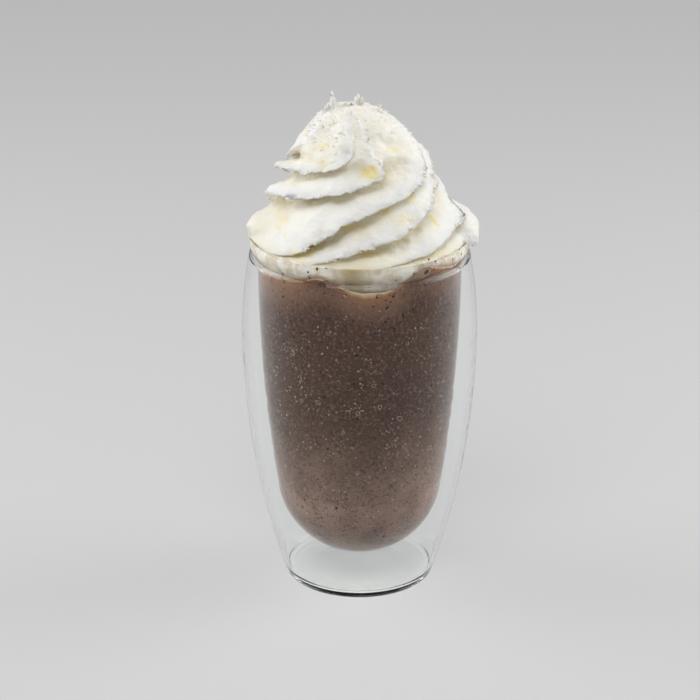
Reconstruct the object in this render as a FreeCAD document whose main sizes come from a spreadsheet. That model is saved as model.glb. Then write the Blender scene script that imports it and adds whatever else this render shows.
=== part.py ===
"""Iced mocha in a double-walled glass, under a piped swirl of whipped cream.

A parametric FreeCAD document in millimetres, +Z up, with the origin at the centre of the glass's foot.
Every driving size is a cell of the sheet "Sizes". Three sub-parts come out of it:
  glass  a blown double-walled glass: a jacket and an inner vessel fused under a flared lip, with a
         sealed air space between them
  mocha  the drink, which fills the inner vessel up to the wavy underside of the cream
  cream  the whipped cream: a twisted star of ridges on a bed of cream that lies on the drink
"""
import FreeCAD, Part
import Sketcher
import math
import os

SIZES = {
    # glass: overall
    "GlassHeight": 144.0,
    "VesselWall": 1.8,
    "JacketWall": 1.5,
    # glass: jacket, the outer wall
    "FloorThickness": 2.2,
    "HeelRadius": 2.5,
    "FloorCornerRadius": 3.5,
    "StandRadius": 27.5,
    "JacketGap": 6.5,
    "BellyDrop": 40.0,
    "ShoulderRadius": 3.5,
    "ShoulderDrop": 9.0,
    "PuntRadius": 19.0,
    "PuntDepth": 0.7,
    # glass: inner vessel, measured on its outer face
    "NeckRadius": 39.6,
    "LipFlare": 3.4,
    "LipDepth": 12.0,
    "WallTaper": 6.6,
    "BowlGap": 8.3,
    # cream: the bed that lies on the drink
    "DrinkDrop": 7.6,
    "BedWave": 3.0,
    "BedDepth": 3.0,
    # cream: the swirl
    "SwirlRise": 53.0,
    "SwirlFullness": 1.25,
    "RidgeDepth": 7.5,
    "RidgeEave": 3.6,
    "PeakLean": 4.5,
    # cream: the dollop that hangs over the lip, the dab across the glass from it and the ledge over the dab
    "DollopReach": 8.8,
    "DollopHeight": 2.8,
    "DollopSpan": 30.0,
    "DollopDrop": 8.0,
    "DabReach": 7.5,
    "DabHeight": 4.5,
    "DabSpan": 34.0,
    "DabDrop": 6.5,
    "LedgeReach": 3.0,
    "LedgeHeight": 28.0,
    "LedgeSpan": 16.0,
    "LedgeDrop": 3.5,
}

DERIVED = {
    "NeckHeight": "=GlassHeight - LipDepth",
    "RimRound": "=VesselWall / 2",
    "RimLevel": "=GlassHeight - RimRound",
    "LipRadius": "=NeckRadius + LipFlare",
    "FlareCurve": "=((RimLevel - NeckHeight)^2 + LipFlare^2) / (4 * LipFlare)",
    # the wall's arc runs from the neck into the bowl, whose bottom stands BowlGap above the jacket's floor
    "BowlRadius": "=NeckRadius - WallTaper",
    "BowlDepth": "=NeckHeight - FloorThickness - BowlGap - BowlRadius",
    "WallCurve": "=(NeckRadius^2 + BowlDepth^2 - BowlRadius^2) / (2 * WallTaper)",
    # the flank's arc runs from heel to belly, and the crown's from belly to a shoulder on the neck
    "BellyRadius": "=NeckRadius + JacketGap",
    "BellyHeight": "=GlassHeight - BellyDrop",
    "FlankSpread": "=BellyRadius - StandRadius",
    "FlankRise": "=BellyHeight - HeelRadius",
    "FlankCurve": "=(FlankSpread^2 + FlankRise^2 - HeelRadius^2) / (2 * (FlankSpread - HeelRadius))",
    "ShoulderHeight": "=GlassHeight - ShoulderDrop",
    "CrownRise": "=ShoulderHeight - BellyHeight",
    "CrownCurve": "=(JacketGap^2 + CrownRise^2 - ShoulderRadius^2) / (2 * (JacketGap - ShoulderRadius))",
    "DrinkLevel": "=GlassHeight - DrinkDrop",
    "SwirlRadius": "=LipRadius - VesselWall",
}

# waves of the bed round the wall: how many, share of BedWave, degrees of a crest
BED_WAVES = ((2, 0.6, -60.0), (4, 1.0, -36.0), (6, 0.6, 11.0), (8, 0.43, -15.0))
# each ridge's angle in degrees at shares of SwirlRise, and its share of RidgeDepth
COURSE_RISES = (0.0, 0.13, 0.26, 0.40, 0.53, 0.64, 0.75)
COURSES = (
    (77.0, 102.0, 127.0, 152.0, 184.0, 240.0, 257.0),
    (131.0, 151.0, 172.0, 214.0, 270.0, 291.0, 305.0),
    (222.0, 240.0, 254.0, 278.0, 322.0, 343.0, 358.0),
    (240.0, 266.0, 301.0, 323.0, 355.0, 383.0, 410.0),
    (272.0, 325.0, 362.0, 395.0, 422.0, 443.0, 465.0),
    (337.0, 368.0, 399.0, 430.0, 461.0, 488.0, 515.0),
    (390.0, 421.0, 452.0, 483.0, 514.0, 541.0, 568.0),
)
RIDGE_SHARES = (1.0, 1.1, 1.15, 0.7, 0.9, 0.9, 1.0)
RIDGE_PROFILE = (                                      # from a crest to the next: place, height of the ridge
    (0.00, 1.00),
    (0.07, 0.30),
    (0.20, 0.00),
    (0.42, 0.22),
    (0.64, 0.60),
    (0.85, 0.93),
)
CALM_START, CALM_END = 0.58, 0.78    # shares of SwirlRise between which the ridges sink towards the peak
CALM_SHARE = 0.35                    # the share of their depth that is left there
LEAN_POWER = 4                       # how late the peak's lean sets in
SWIRL_ROWS = 44                      # rings of control points from the bed to the peak
ROW_EASE = 0.5                       # how much closer the rings lie at the bed and the peak, up to 1
BED_GRID = 25                        # control points along each side of the bed's underside
BED_REACH = 1.2                      # the bed's face, as a share of the lip's radius
OVERCUT = 1.0                        # how far a cutting profile runs past the face that it opens
LUMPS = (("Dollop", 2.0), ("Dab", 186.0), ("Ledge", 183.0))    # lumps on the ridges, with their angles


# ---------------------------------------------------------------- document and sheet

doc = FreeCAD.newDocument("IcedMocha")
sheet = doc.addObject("Spreadsheet::Sheet", "Sizes")


def fill_sheet():
    """Writes each size and each derived size to a row of its own, with its name as the cell's alias."""
    rows = list(SIZES.items()) + list(DERIVED.items())
    for number, (name, value) in enumerate(rows, start=1):
        sheet.set(f"A{number}", name)
        sheet.set(f"B{number}", str(value))
        sheet.setAlias(f"B{number}", name)
    doc.recompute()


def size(name):
    """The value of one cell of the sheet."""
    return float(sheet.get(name))


# ---------------------------------------------------------------- sketch helpers

ORIGIN = (-1, 1)         # the sketch's own origin, as a constraint names it
AXIS = -2                # the sketch's vertical axis


def point(across, up):
    return FreeCAD.Vector(across, up, 0)


def beyond(start, through, distance):
    """The point that lies the given distance from start, in the direction of through."""
    way = through.sub(start)
    return start.add(way.multiply(distance / way.Length))


class Profile:
    """A closed chain of lines and arcs on the XZ plane of a body, with its sizes bound to the sheet."""

    def __init__(self, body, name):
        plane = next(part for part in body.Origin.OriginFeatures if part.Role == "XZ_Plane")
        self.sketch = body.newObject("Sketcher::SketchObject", name)
        self.sketch.AttachmentSupport = [(plane, "")]
        self.sketch.MapMode = "FlatFace"
        self.chain = []

    def rule(self, kind, *items):
        self.sketch.addConstraint(Sketcher.Constraint(kind, *items))

    def bind(self, name, kind, *items):
        """A dimension: the last item is its value, and name is the expression that drives it."""
        index = self.sketch.addConstraint(Sketcher.Constraint(kind, *items))
        self.sketch.setExpression(f"Constraints[{index}]", name)

    def add(self, curve, first, last, smooth=False):
        """Joins a curve to the chain's end, without a corner if smooth."""
        index = self.sketch.addGeometry(curve, False)
        if self.chain:
            self.rule("Tangent" if smooth else "Coincident", *self.end(-1), index, first)
        self.chain.append(((index, first), (index, last)))

    def start(self, link):
        return self.chain[link][0]

    def end(self, link):
        return self.chain[link][1]

    def centre(self, link):
        return self.chain[link][0][0], 3

    def line(self, start, end):
        self.add(Part.LineSegment(start, end), 1, 2)

    def arc(self, centre, start, end, clockwise=False, smooth=False):
        circle = Part.Circle(centre, FreeCAD.Vector(0, 0, 1), start.sub(centre).Length)
        first, last = (end, start) if clockwise else (start, end)
        angles = [math.atan2(spot.y - centre.y, spot.x - centre.x) for spot in (first, last)]
        ends = (2, 1) if clockwise else (1, 2)
        self.add(Part.ArcOfCircle(circle, *angles), *ends, smooth)

    def radius(self, link, name, value):
        self.bind(name, "Radius", self.chain[link][0][0], value)

    def across(self, spot, name, value):
        self.bind(name, "DistanceX", *ORIGIN, *spot, value)

    def up(self, spot, name, value):
        self.bind(name, "DistanceY", *ORIGIN, *spot, value)

    def level(self, first, second):
        self.rule("Horizontal", *first, *second)

    def plumb(self, first, second):
        self.rule("Vertical", *first, *second)

    def close(self):
        self.rule("Coincident", *self.end(-1), *self.start(0))


def revolve(body, kind, name, profile):
    """A full turn of the profile about the body's Z axis: kind is Revolution or Groove."""
    before = body.Shape.Volume if body.Tip else 0.0
    turned = body.newObject(f"PartDesign::{kind}", name)
    turned.Profile = profile.sketch
    turned.ReferenceAxis = (profile.sketch, ["V_Axis"])
    turned.Angle = 360.0
    doc.recompute()
    gained = turned.Shape.Volume - before
    if (gained > 0) != (kind == "Revolution"):
        raise ValueError(f"{name} changed the volume by {gained:.1f} mm3")
    return turned


# ---------------------------------------------------------------- glass profiles

def jacket_profile(body, name, wall, floor, heel):
    """The jacket's section: floor, heel, flank, belly, crown and shoulder, inside its outer face by wall.

    wall, floor and heel are sheet names; wall is None for the outer face itself, which stands on the ground.
    """
    inset = size(wall) if wall else 0.0
    less = f" - Sizes.{wall}" if wall else ""
    ground = size(floor) if floor else 0.0
    corner = size(heel)
    belly = point(size("BellyRadius") - inset, size("BellyHeight"))
    flank_centre = point(belly.x - size("FlankCurve") + inset, belly.y)
    crown_centre = point(belly.x - size("CrownCurve") + inset, belly.y)
    corner_rise = ground + corner
    reach = size("FlankCurve") - inset - corner
    foot = flank_centre.x + math.sqrt(reach ** 2 - (belly.y - corner_rise) ** 2)
    corner_centre = point(foot, corner_rise)
    round_ = size("ShoulderRadius") - inset
    shoulder_rise = size("ShoulderHeight")
    reach = size("CrownCurve") - inset - round_
    neck = crown_centre.x + math.sqrt(reach ** 2 - (shoulder_rise - belly.y) ** 2)
    shoulder_centre = point(neck, shoulder_rise)
    heel_end = beyond(flank_centre, corner_centre, size("FlankCurve") - inset)
    crown_end = beyond(crown_centre, shoulder_centre, size("CrownCurve") - inset)
    top = point(neck, shoulder_rise + round_)

    profile = Profile(body, name)
    profile.line(point(0, ground), point(foot, ground))
    profile.arc(corner_centre, point(foot, ground), heel_end)
    profile.arc(flank_centre, heel_end, belly, smooth=True)
    profile.arc(crown_centre, belly, crown_end)
    profile.arc(shoulder_centre, crown_end, top, smooth=True)
    profile.line(top, point(0, top.y))
    profile.line(point(0, top.y), point(0, ground))
    profile.close()

    floor_line, corner_arc, flank_arc, crown_arc, shoulder_arc, top_line, axis_line = range(7)
    profile.level(profile.start(floor_line), profile.end(floor_line))
    profile.level(profile.start(top_line), profile.end(top_line))
    profile.plumb(profile.start(axis_line), profile.end(axis_line))
    profile.rule("PointOnObject", *profile.start(floor_line), AXIS)
    if floor:
        profile.up(profile.start(floor_line), f"Sizes.{floor}", ground)
    else:
        profile.level(profile.start(floor_line), ORIGIN)
    profile.radius(corner_arc, f"Sizes.{heel}", corner)
    profile.plumb(profile.centre(corner_arc), profile.end(floor_line))
    profile.radius(flank_arc, f"Sizes.FlankCurve{less}", size("FlankCurve") - inset)
    profile.radius(crown_arc, f"Sizes.CrownCurve{less}", size("CrownCurve") - inset)
    profile.across(profile.end(flank_arc), f"Sizes.BellyRadius{less}", belly.x)
    profile.up(profile.end(flank_arc), "Sizes.BellyHeight", belly.y)
    profile.level(profile.centre(flank_arc), profile.end(flank_arc))
    profile.level(profile.centre(crown_arc), profile.end(flank_arc))
    profile.radius(shoulder_arc, f"Sizes.ShoulderRadius{less}", round_)
    profile.up(profile.centre(shoulder_arc), "Sizes.ShoulderHeight", shoulder_rise)
    profile.plumb(profile.centre(shoulder_arc), profile.end(shoulder_arc))
    return profile


def vessel_profile(body, name, wall, top):
    """The inner vessel's section: a round bowl, a long wall and a flared lip, inside its outer face by wall.

    wall is a sheet name, or None for the outer face. top says how the section ends above the flare:
    "rim" rounds it over to the top, "open" does so from inside and runs past it, "flat" stops it level.
    """
    inset = size(wall) if wall else 0.0
    less = f" - Sizes.{wall}" if wall else ""
    more = f" + Sizes.{wall}" if wall else ""
    neck = point(size("NeckRadius") - inset, size("NeckHeight"))
    wall_curve = size("WallCurve") - inset
    bowl_curve = size("BowlRadius") - inset
    wall_centre = point(neck.x - wall_curve, neck.y)
    bowl_centre = point(0, neck.y - size("BowlDepth"))
    bowl_end = beyond(wall_centre, bowl_centre, wall_curve)
    flare = size("FlareCurve")
    flare_centre = point(size("NeckRadius") + flare, neck.y)
    lip_centre = point(size("LipRadius") - flare, size("RimLevel"))
    flare_end = beyond(flare_centre, lip_centre, flare + inset)
    lip = point(size("LipRadius") - inset, size("RimLevel"))
    rim_centre = point(size("LipRadius") - size("RimRound"), lip.y)
    rim_top = point(rim_centre.x, size("GlassHeight"))

    profile = Profile(body, name)
    bottom = point(0, bowl_centre.y - bowl_curve)
    profile.arc(bowl_centre, bottom, bowl_end)
    profile.arc(wall_centre, bowl_end, neck, smooth=True)
    profile.arc(flare_centre, neck, flare_end, clockwise=True)
    profile.arc(lip_centre, flare_end, lip, smooth=True)
    bowl_arc, wall_arc, flare_arc, lip_arc, next_link = range(5)
    profile.rule("PointOnObject", *profile.start(bowl_arc), AXIS)
    profile.rule("PointOnObject", *profile.centre(bowl_arc), AXIS)
    profile.radius(bowl_arc, f"Sizes.BowlRadius{less}", bowl_curve)
    profile.radius(wall_arc, f"Sizes.WallCurve{less}", wall_curve)
    profile.across(profile.end(wall_arc), f"Sizes.NeckRadius{less}", neck.x)
    profile.up(profile.end(wall_arc), "Sizes.NeckHeight", neck.y)
    profile.level(profile.centre(wall_arc), profile.end(wall_arc))
    profile.level(profile.centre(flare_arc), profile.end(wall_arc))
    profile.radius(flare_arc, f"Sizes.FlareCurve{more}", flare + inset)
    profile.radius(lip_arc, f"Sizes.FlareCurve{less}", flare - inset)
    profile.up(profile.end(lip_arc), "Sizes.RimLevel", lip.y)
    profile.level(profile.centre(lip_arc), profile.end(lip_arc))

    last = lip
    if top in ("rim", "open"):
        profile.arc(rim_centre, lip, rim_top, clockwise=(top == "open"))
        profile.radius(next_link, "Sizes.RimRound", size("RimRound"))
        profile.level(profile.centre(next_link), profile.end(lip_arc))
        profile.plumb(profile.centre(next_link), profile.end(next_link))
        last = rim_top
        next_link += 1
    if top == "open":
        profile.line(rim_top, point(rim_top.x, rim_top.y + OVERCUT))
        profile.plumb(profile.start(next_link), profile.end(next_link))
        profile.up(profile.end(next_link), f"Sizes.GlassHeight + {OVERCUT}", rim_top.y + OVERCUT)
        last = point(rim_top.x, rim_top.y + OVERCUT)
        next_link += 1
    profile.line(last, point(0, last.y))
    profile.line(point(0, last.y), bottom)
    profile.close()
    profile.level(profile.start(next_link), profile.end(next_link))
    profile.rule("PointOnObject", *profile.end(next_link), AXIS)
    return profile


def punt_profile(body, name):
    """The shallow hollow under the foot: an arc over a flat cut that starts below the ground."""
    rim = size("PuntRadius")
    depth = size("PuntDepth")
    curve = (rim ** 2 + depth ** 2) / (2 * depth)
    centre = point(0, depth - curve)
    profile = Profile(body, name)
    profile.arc(centre, point(rim, 0), point(0, depth))
    profile.line(point(0, depth), point(0, -OVERCUT))
    profile.line(point(0, -OVERCUT), point(rim, -OVERCUT))
    profile.line(point(rim, -OVERCUT), point(rim, 0))
    profile.close()
    dome, axis_line, base_line, side_line = range(4)
    profile.across(profile.start(dome), "Sizes.PuntRadius", rim)
    profile.level(profile.start(dome), ORIGIN)
    profile.rule("PointOnObject", *profile.end(dome), AXIS)
    profile.rule("PointOnObject", *profile.centre(dome), AXIS)
    profile.up(profile.end(dome), "Sizes.PuntDepth", depth)
    profile.rule("PointOnObject", *profile.end(axis_line), AXIS)
    profile.bind(f"{OVERCUT}", "DistanceY", *profile.end(axis_line), *ORIGIN, OVERCUT)
    profile.level(profile.start(base_line), profile.end(base_line))
    profile.plumb(profile.start(side_line), profile.end(side_line))
    return profile


# ---------------------------------------------------------------- glass and drink

def build_glass():
    body = doc.addObject("PartDesign::Body", "Glass")
    body.Label = "glass"
    jacket = jacket_profile(body, "JacketSection", None, None, "HeelRadius")
    revolve(body, "Revolution", "Jacket", jacket)
    space = jacket_profile(body, "AirSpaceSection", "JacketWall", "FloorThickness", "FloorCornerRadius")
    revolve(body, "Groove", "AirSpace", space)
    vessel = vessel_profile(body, "VesselSection", None, "rim")
    revolve(body, "Revolution", "Vessel", vessel)
    well = vessel_profile(body, "WellSection", "VesselWall", "open")
    revolve(body, "Groove", "Well", well)
    punt = punt_profile(body, "PuntSection")
    revolve(body, "Groove", "Punt", punt)
    return body


def build_fill():
    """All that the well holds up to the rim: the drink before the cream's bed is cut from it."""
    body = doc.addObject("PartDesign::Body", "Fill")
    body.Label = "well_fill"
    revolve(body, "Revolution", "Contents", vessel_profile(body, "ContentsSection", "VesselWall", "flat"))
    return body


# ---------------------------------------------------------------- cream

DEGREE = 3               # of every spline


def clamped(count):
    """Knots and multiplicities of an open spline with this many control points."""
    knots = list(range(count - DEGREE + 1))
    mults = [DEGREE + 1] + [1] * (len(knots) - 2) + [DEGREE + 1]
    return knots, mults


def closed(count):
    """Knots and multiplicities of a spline that closes on itself."""
    return list(range(count + 1)), [1] * (count + 1)


def bed_surface():
    """The wavy face between drink and cream: waves run round the wall and die out towards the middle."""
    half = size("LipRadius") * BED_REACH
    steps = [half * (2 * index / (BED_GRID - 1) - 1) for index in range(BED_GRID)]

    def height(x, y):
        share = min(1.0, math.hypot(x, y) / size("NeckRadius"))
        angle = math.degrees(math.atan2(y, x))
        waves = sum(
            part * math.cos(math.radians(count * (angle - crest))) for count, part, crest in BED_WAVES
        )
        return size("DrinkLevel") + size("BedWave") * waves * share ** 2

    poles = [[FreeCAD.Vector(x, y, height(x, y)) for y in steps] for x in steps]
    knots, mults = clamped(BED_GRID)
    surface = Part.BSplineSurface()
    surface.buildFromPolesMultsKnots(poles, mults, mults, knots, knots, False, False, DEGREE, DEGREE)
    return surface


def build_bed():
    """The block above the wavy face: what lies in it is cream, what lies under it is drink."""
    bed = doc.addObject("Part::Feature", "Bed")
    bed.Label = "cream_bed"
    bed.Shape = bed_surface().toShape().extrude(FreeCAD.Vector(0, 0, size("SwirlRise") * 2))
    return bed


def bell(distance, span):
    """A soft bump: 1 in the middle, near 0 at the span."""
    return math.exp(-2.5 * (distance / span) ** 2)


def turn_from(angle, centre):
    """The signed angle in degrees from centre to angle."""
    return (angle - centre + 180) % 360 - 180


def eased(low, high, value):
    """0 below low, 1 above high, and a soft change between them."""
    share = min(1.0, max(0.0, (value - low) / (high - low)))
    return share * share * (3 - 2 * share)


def plug_radius(rise):
    """The radius of the middle of the well's wall, where the cream's skin lies before the glass is cut."""
    flare = size("LipFlare") * eased(-size("LipDepth"), -size("RimRound"), rise)
    return size("NeckRadius") - size("VesselWall") / 2 + flare


def heap_radius(rise):
    """The radius of the heap's crests above the rim; below it the skin turns at once into the wall."""
    if rise < 0:
        plug = plug_radius(rise)
        return plug + (size("SwirlRadius") - plug) * eased(-size("VesselWall"), 0.0, rise)
    share = min(1.0, rise / size("SwirlRise"))
    return size("SwirlRadius") * math.sqrt(1 - share ** size("SwirlFullness"))


def ridge_depth(rise):
    """How deep the ridges are at this rise: flat where the wall presses the cream, calmer near the peak."""
    bedded = eased(-size("LipDepth") / 2, 0.0, rise)
    calmed = eased(CALM_START, CALM_END, rise / size("SwirlRise"))
    return size("RidgeDepth") * bedded * (1 - (1 - CALM_SHARE) * calmed)


def course_angle(course, rise):
    """The angle of a ridge's crest at this rise, straight between its stations."""
    share = max(0.0, rise / size("SwirlRise"))
    stations = list(zip(COURSE_RISES, course))
    for (low, start), (high, end) in zip(stations, stations[1:]):
        if share <= high:
            return start + (end - start) * (share - low) / (high - low)
    return course[-1]


def lump_cover(name, place, angle, rise):
    """How far a lump of cream covers the ridges here: 1 in its middle, dying out at its span and its drop."""
    around = bell(turn_from(angle, place), size(f"{name}Span"))
    return around * bell(rise - size(f"{name}Height"), size(f"{name}Drop"))


def swirl_pole(angle, rise, sunk):
    """One control point: sunk is how far the ridges' relief draws it in from the heap's crests."""
    radius = heap_radius(rise)
    for name, place in LUMPS:
        cover = lump_cover(name, place, angle, rise)
        sunk *= 1 - cover
        radius += size(f"{name}Reach") * cover
    radius = max(0.0, radius - sunk)
    centre = -size("PeakLean") * max(0.0, rise / size("SwirlRise")) ** LEAN_POWER
    direction = math.radians(angle)
    return FreeCAD.Vector(
        centre + radius * math.cos(direction),
        radius * math.sin(direction),
        size("GlassHeight") + rise,
    )


def swirl_row(rise):
    """One ring of control points: a star of leaning ridges, each where its course takes it."""
    count = len(COURSES)
    crests = [course_angle(course, rise) for course in COURSES]
    crests.append(crests[0] + 360)
    shares = RIDGE_SHARES + RIDGE_SHARES[:1]
    eave = math.degrees(size("RidgeEave") / size("SwirlRadius")) * ridge_depth(rise) / size("RidgeDepth")
    row = []
    for ridge in range(count):
        for place, height in RIDGE_PROFILE:
            relief = shares[ridge] * (1 - place) + shares[ridge + 1] * place
            angle = crests[ridge] + (crests[ridge + 1] - crests[ridge]) * place + eave * height ** 2
            row.append(swirl_pole(angle, rise, ridge_depth(rise) * relief * (1 - height)))
    return row


def swirl_rises():
    """The rises of the rings of control points, from under the bed to the peak."""
    waves = sum(part for _, part, _ in BED_WAVES)
    lowest = -size("DrinkDrop") - size("BedWave") * waves - size("BedDepth")
    rises = []
    for index in range(SWIRL_ROWS):
        share = index / (SWIRL_ROWS - 1)
        share += ROW_EASE * math.sin(share * math.pi) / math.pi
        rises.append(lowest + (size("SwirlRise") - lowest) * share)
    return rises


def build_swirl():
    """The whole cream before it is trimmed: one spline skin over a stack of turned stars, closed below."""
    rings = [swirl_row(rise) for rise in swirl_rises()]
    columns = [list(column) for column in zip(*rings)]
    around_knots, around_mults = closed(len(columns))
    knots, mults = clamped(SWIRL_ROWS)
    skin = Part.BSplineSurface()
    skin.buildFromPolesMultsKnots(
        columns, around_mults, mults, around_knots, knots, True, False, DEGREE, DEGREE,
    )
    side = skin.toShape()
    rim = min(side.Edges, key=lambda edge: edge.BoundBox.ZMax if edge.BoundBox.ZLength < 0.01 else 1e9)
    floor = Part.Face(Part.Wire([rim]))
    if floor.normalAt(0, 0).z > 0:
        floor.reverse()
    heap = Part.Solid(Part.Shell([side, floor]))
    if heap.Volume < 0:
        heap.reverse()
    swirl = doc.addObject("Part::Feature", "Swirl")
    swirl.Label = "cream_swirl"
    swirl.Shape = heap
    return swirl


def combine(kind, name, label, first, second):
    """A Part boolean of two objects: kind is Cut, or Common, which takes them as Base and Tool too."""
    result = doc.addObject(f"Part::{kind}", name)
    result.Base = first
    result.Tool = second
    result.Label = label
    return result


# ---------------------------------------------------------------- build, check, write

def check(nodes):
    """Stops on a failed object or a sub-part that is not one valid solid."""
    for thing in doc.Objects:
        if {"Invalid", "Error"} & set(thing.State):
            raise ValueError(f"{thing.Label} failed: {thing.State}")
    for node in nodes:
        shape = node.Shape
        if shape.isNull() or not shape.isValid() or len(shape.Solids) != 1:
            raise ValueError(f"{node.Label} is not one valid solid")
        print(f"{node.Label}: {shape.Volume / 1000:.1f} cm3, {len(shape.Faces)} faces")


def main():
    fill_sheet()
    glass = build_glass()
    fill = build_fill()
    bed = build_bed()
    swirl = build_swirl()
    mocha = combine("Cut", "Drink", "mocha", fill, bed)
    trimmed = combine("Common", "SwirlOnBed", "swirl_on_bed", swirl, bed)
    cream = combine("Cut", "Cream", "cream", trimmed, glass)
    doc.recompute()
    nodes = [glass, mocha, cream]
    check(nodes)
    os.makedirs("parts", exist_ok=True)
    for node in nodes:
        node.Shape.exportStep(f"parts/{node.Label}.step")


main()
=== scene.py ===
"""Iced mocha: the looks of the drink, of its double-walled glass and of the piped cream on top.

Blender works in metres; the sizes below are in millimetres and MM turns them into metres.
Angles round the glass are in degrees, anticlockwise seen from above, from +X; the front is at 270.
"""
import bpy
import bmesh
import math
import random
import numpy as np
from mathutils import Matrix, Vector, noise


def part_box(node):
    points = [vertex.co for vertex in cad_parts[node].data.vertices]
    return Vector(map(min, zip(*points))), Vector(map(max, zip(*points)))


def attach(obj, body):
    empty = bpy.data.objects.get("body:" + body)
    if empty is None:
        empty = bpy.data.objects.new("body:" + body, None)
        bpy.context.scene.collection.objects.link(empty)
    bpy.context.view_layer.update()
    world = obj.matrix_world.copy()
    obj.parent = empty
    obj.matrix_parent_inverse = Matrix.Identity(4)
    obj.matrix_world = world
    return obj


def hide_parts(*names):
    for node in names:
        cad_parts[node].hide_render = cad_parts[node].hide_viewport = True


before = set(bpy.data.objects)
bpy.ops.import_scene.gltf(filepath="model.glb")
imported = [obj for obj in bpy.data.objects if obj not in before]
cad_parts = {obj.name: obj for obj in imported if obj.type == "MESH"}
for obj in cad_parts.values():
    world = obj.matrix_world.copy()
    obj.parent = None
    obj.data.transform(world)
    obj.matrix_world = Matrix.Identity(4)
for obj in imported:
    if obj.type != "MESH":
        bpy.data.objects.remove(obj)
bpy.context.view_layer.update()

MM = 0.001
NOISE_SEED = 1795445696     # vector noise would take its seed from the clock, and the fluff change each run

# glass: the inner vessel's well, which the drink and the cream fill
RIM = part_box("glass")[1].z / MM
WALL = 1.8
LIP_RADIUS = 43.0
NECK_RADIUS = 39.6
LIP_DEPTH = 12.0
BOWL_RADIUS = 33.0
WELL_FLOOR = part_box("mocha")[0].z / MM
BOWL_DEPTH = RIM - LIP_DEPTH - (WELL_FLOOR - WALL + BOWL_RADIUS)
WALL_CURVE = (NECK_RADIUS ** 2 + BOWL_DEPTH ** 2 - BOWL_RADIUS ** 2) / (2 * (NECK_RADIUS - BOWL_RADIUS))
RIM_ROUND = WALL / 2

# where drink and cream meet: its middle level, and how far above it the edge lies on the wall at an angle
BED_LEVEL = RIM - 7.6
BED_RIPPLE = 0.7
BED_EDGE = (
    (0, 0.8), (20, -0.9), (45, -2.6), (70, 0.1), (95, 3.1), (120, -2.4), (150, 0.1), (182, -3.5),
    (198, -2.9), (218, -1.7), (228, -1.2), (237, 0.7), (248, 3.2), (256, 2.0), (262, -0.6), (268, -2.3),
    (276, -2.7), (286, -2.7), (291, -1.6), (296, 1.6), (302, 5.2), (310, 5.4), (318, 4.2), (343, 0.6),
)

# how far each filling reaches into the wall, so that no air shows between them
DRINK_REACH = 0.16
CREAM_REACH = 0.12

# cream: the heap
SWIRL_RADIUS = 41.2
SWIRL_RISE = 52.0
SWIRL_FULLNESS = 1.15
PEAK_LEAN = 3.4
RIDGE_DEPTH = 7.0
RIDGE_EAVE = 3.6
EAVE_DROOP = 0.9

# cream: the ridges, each by stations of angle and rise above the rim that its crest passes
COURSES = (
    ((77, 0), (163, 25.6), (185, 29.8), (234, 31.8), (254, 34.6), (262, 36.5), (268, 40)),
    (
        (131, 0), (166, 16), (190, 19.6), (223, 22.8), (262, 27.5), (284, 30), (290.5, 33), (290, 36.5),
        (284, 40),
    ),
    ((196, -2), (224, 0.4), (244, 10.5), (258, 16.7), (282, 21.8), (322, 26.9), (340, 32.9), (358, 40)),
    ((240, 0), (264, 6.7), (300, 13.5), (322, 20.7), (410, 40)),
    ((272, 0), (306, 2.4), (333, 7.7), (400, 22), (465, 40)),
    ((337, 0), (515, 40)),
    ((390, 0), (568, 40)),
)
RIDGE_SHARE = (1.0, 1.1, 1.15, 0.7, 0.9, 0.9, 1.0)


def smooth_step(low, high, value):
    """0 below low, 1 above high, and an even change between them."""
    share = min(1.0, max(0.0, (value - low) / (high - low)))
    return share * share * (3 - 2 * share)


def bell(distance, span):
    """A soft bump: 1 in the middle, near 0 at the span."""
    return math.exp(-2.5 * (distance / span) ** 2)


def turn_from(angle, centre):
    """The signed angle from centre to angle."""
    return (angle - centre + 180) % 360 - 180


def on_circle(angle, radius, height):
    """The spot at an angle and a radius round the axis."""
    direction = math.radians(angle)
    return Vector((radius * math.cos(direction), radius * math.sin(direction), height))


# ---------------------------------------------------------------- the well and the bed

def flare_curve():
    """The radius of the two equal arcs that open the wall into the lip, on the vessel's outer face."""
    rise = LIP_DEPTH - RIM_ROUND
    spread = LIP_RADIUS - NECK_RADIUS
    return (rise ** 2 + spread ** 2) / (4 * spread)


def well_radius(height):
    """The radius of the well's inner face at a height above the ground."""
    neck_height = RIM - LIP_DEPTH
    bowl = BOWL_RADIUS - WALL
    bowl_centre = WELL_FLOOR + bowl
    curve = WALL_CURVE - WALL
    centre = NECK_RADIUS - WALL_CURVE
    wall = centre + math.sqrt(curve ** 2 - (height - neck_height) ** 2)
    if height < bowl_centre:
        below = bowl_centre - height
        return min(math.sqrt(max(0.0, bowl ** 2 - below ** 2)), wall)
    if height <= neck_height:
        return wall
    flare = flare_curve()
    above = height - neck_height
    outward = flare + WALL
    turn = (LIP_DEPTH - RIM_ROUND) * outward / (2 * flare)
    if above <= turn:
        return NECK_RADIUS + flare - math.sqrt(outward ** 2 - above ** 2)
    inward = flare - WALL
    left = max(0.0, LIP_DEPTH - RIM_ROUND - above)
    return LIP_RADIUS - flare + math.sqrt(inward ** 2 - left ** 2)


def bed_height(angle, share):
    """The height of the face between drink and cream; share runs from 0 at the axis to 1 at the wall."""
    places, edges = zip(*BED_EDGE)
    waves = float(np.interp(angle % 360, (*places, 360), (*edges, edges[0])))
    around = on_circle(angle, 1.0, 0.0)
    ripples = BED_RIPPLE * (noise.noise(around * 5.0) + 0.5 * noise.noise(around * 14.0))
    return BED_LEVEL + (waves + ripples) * share ** 2


# ---------------------------------------------------------------- making pieces

SAME_SPOT = 1e-7         # spots nearer to each other than this are one


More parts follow.
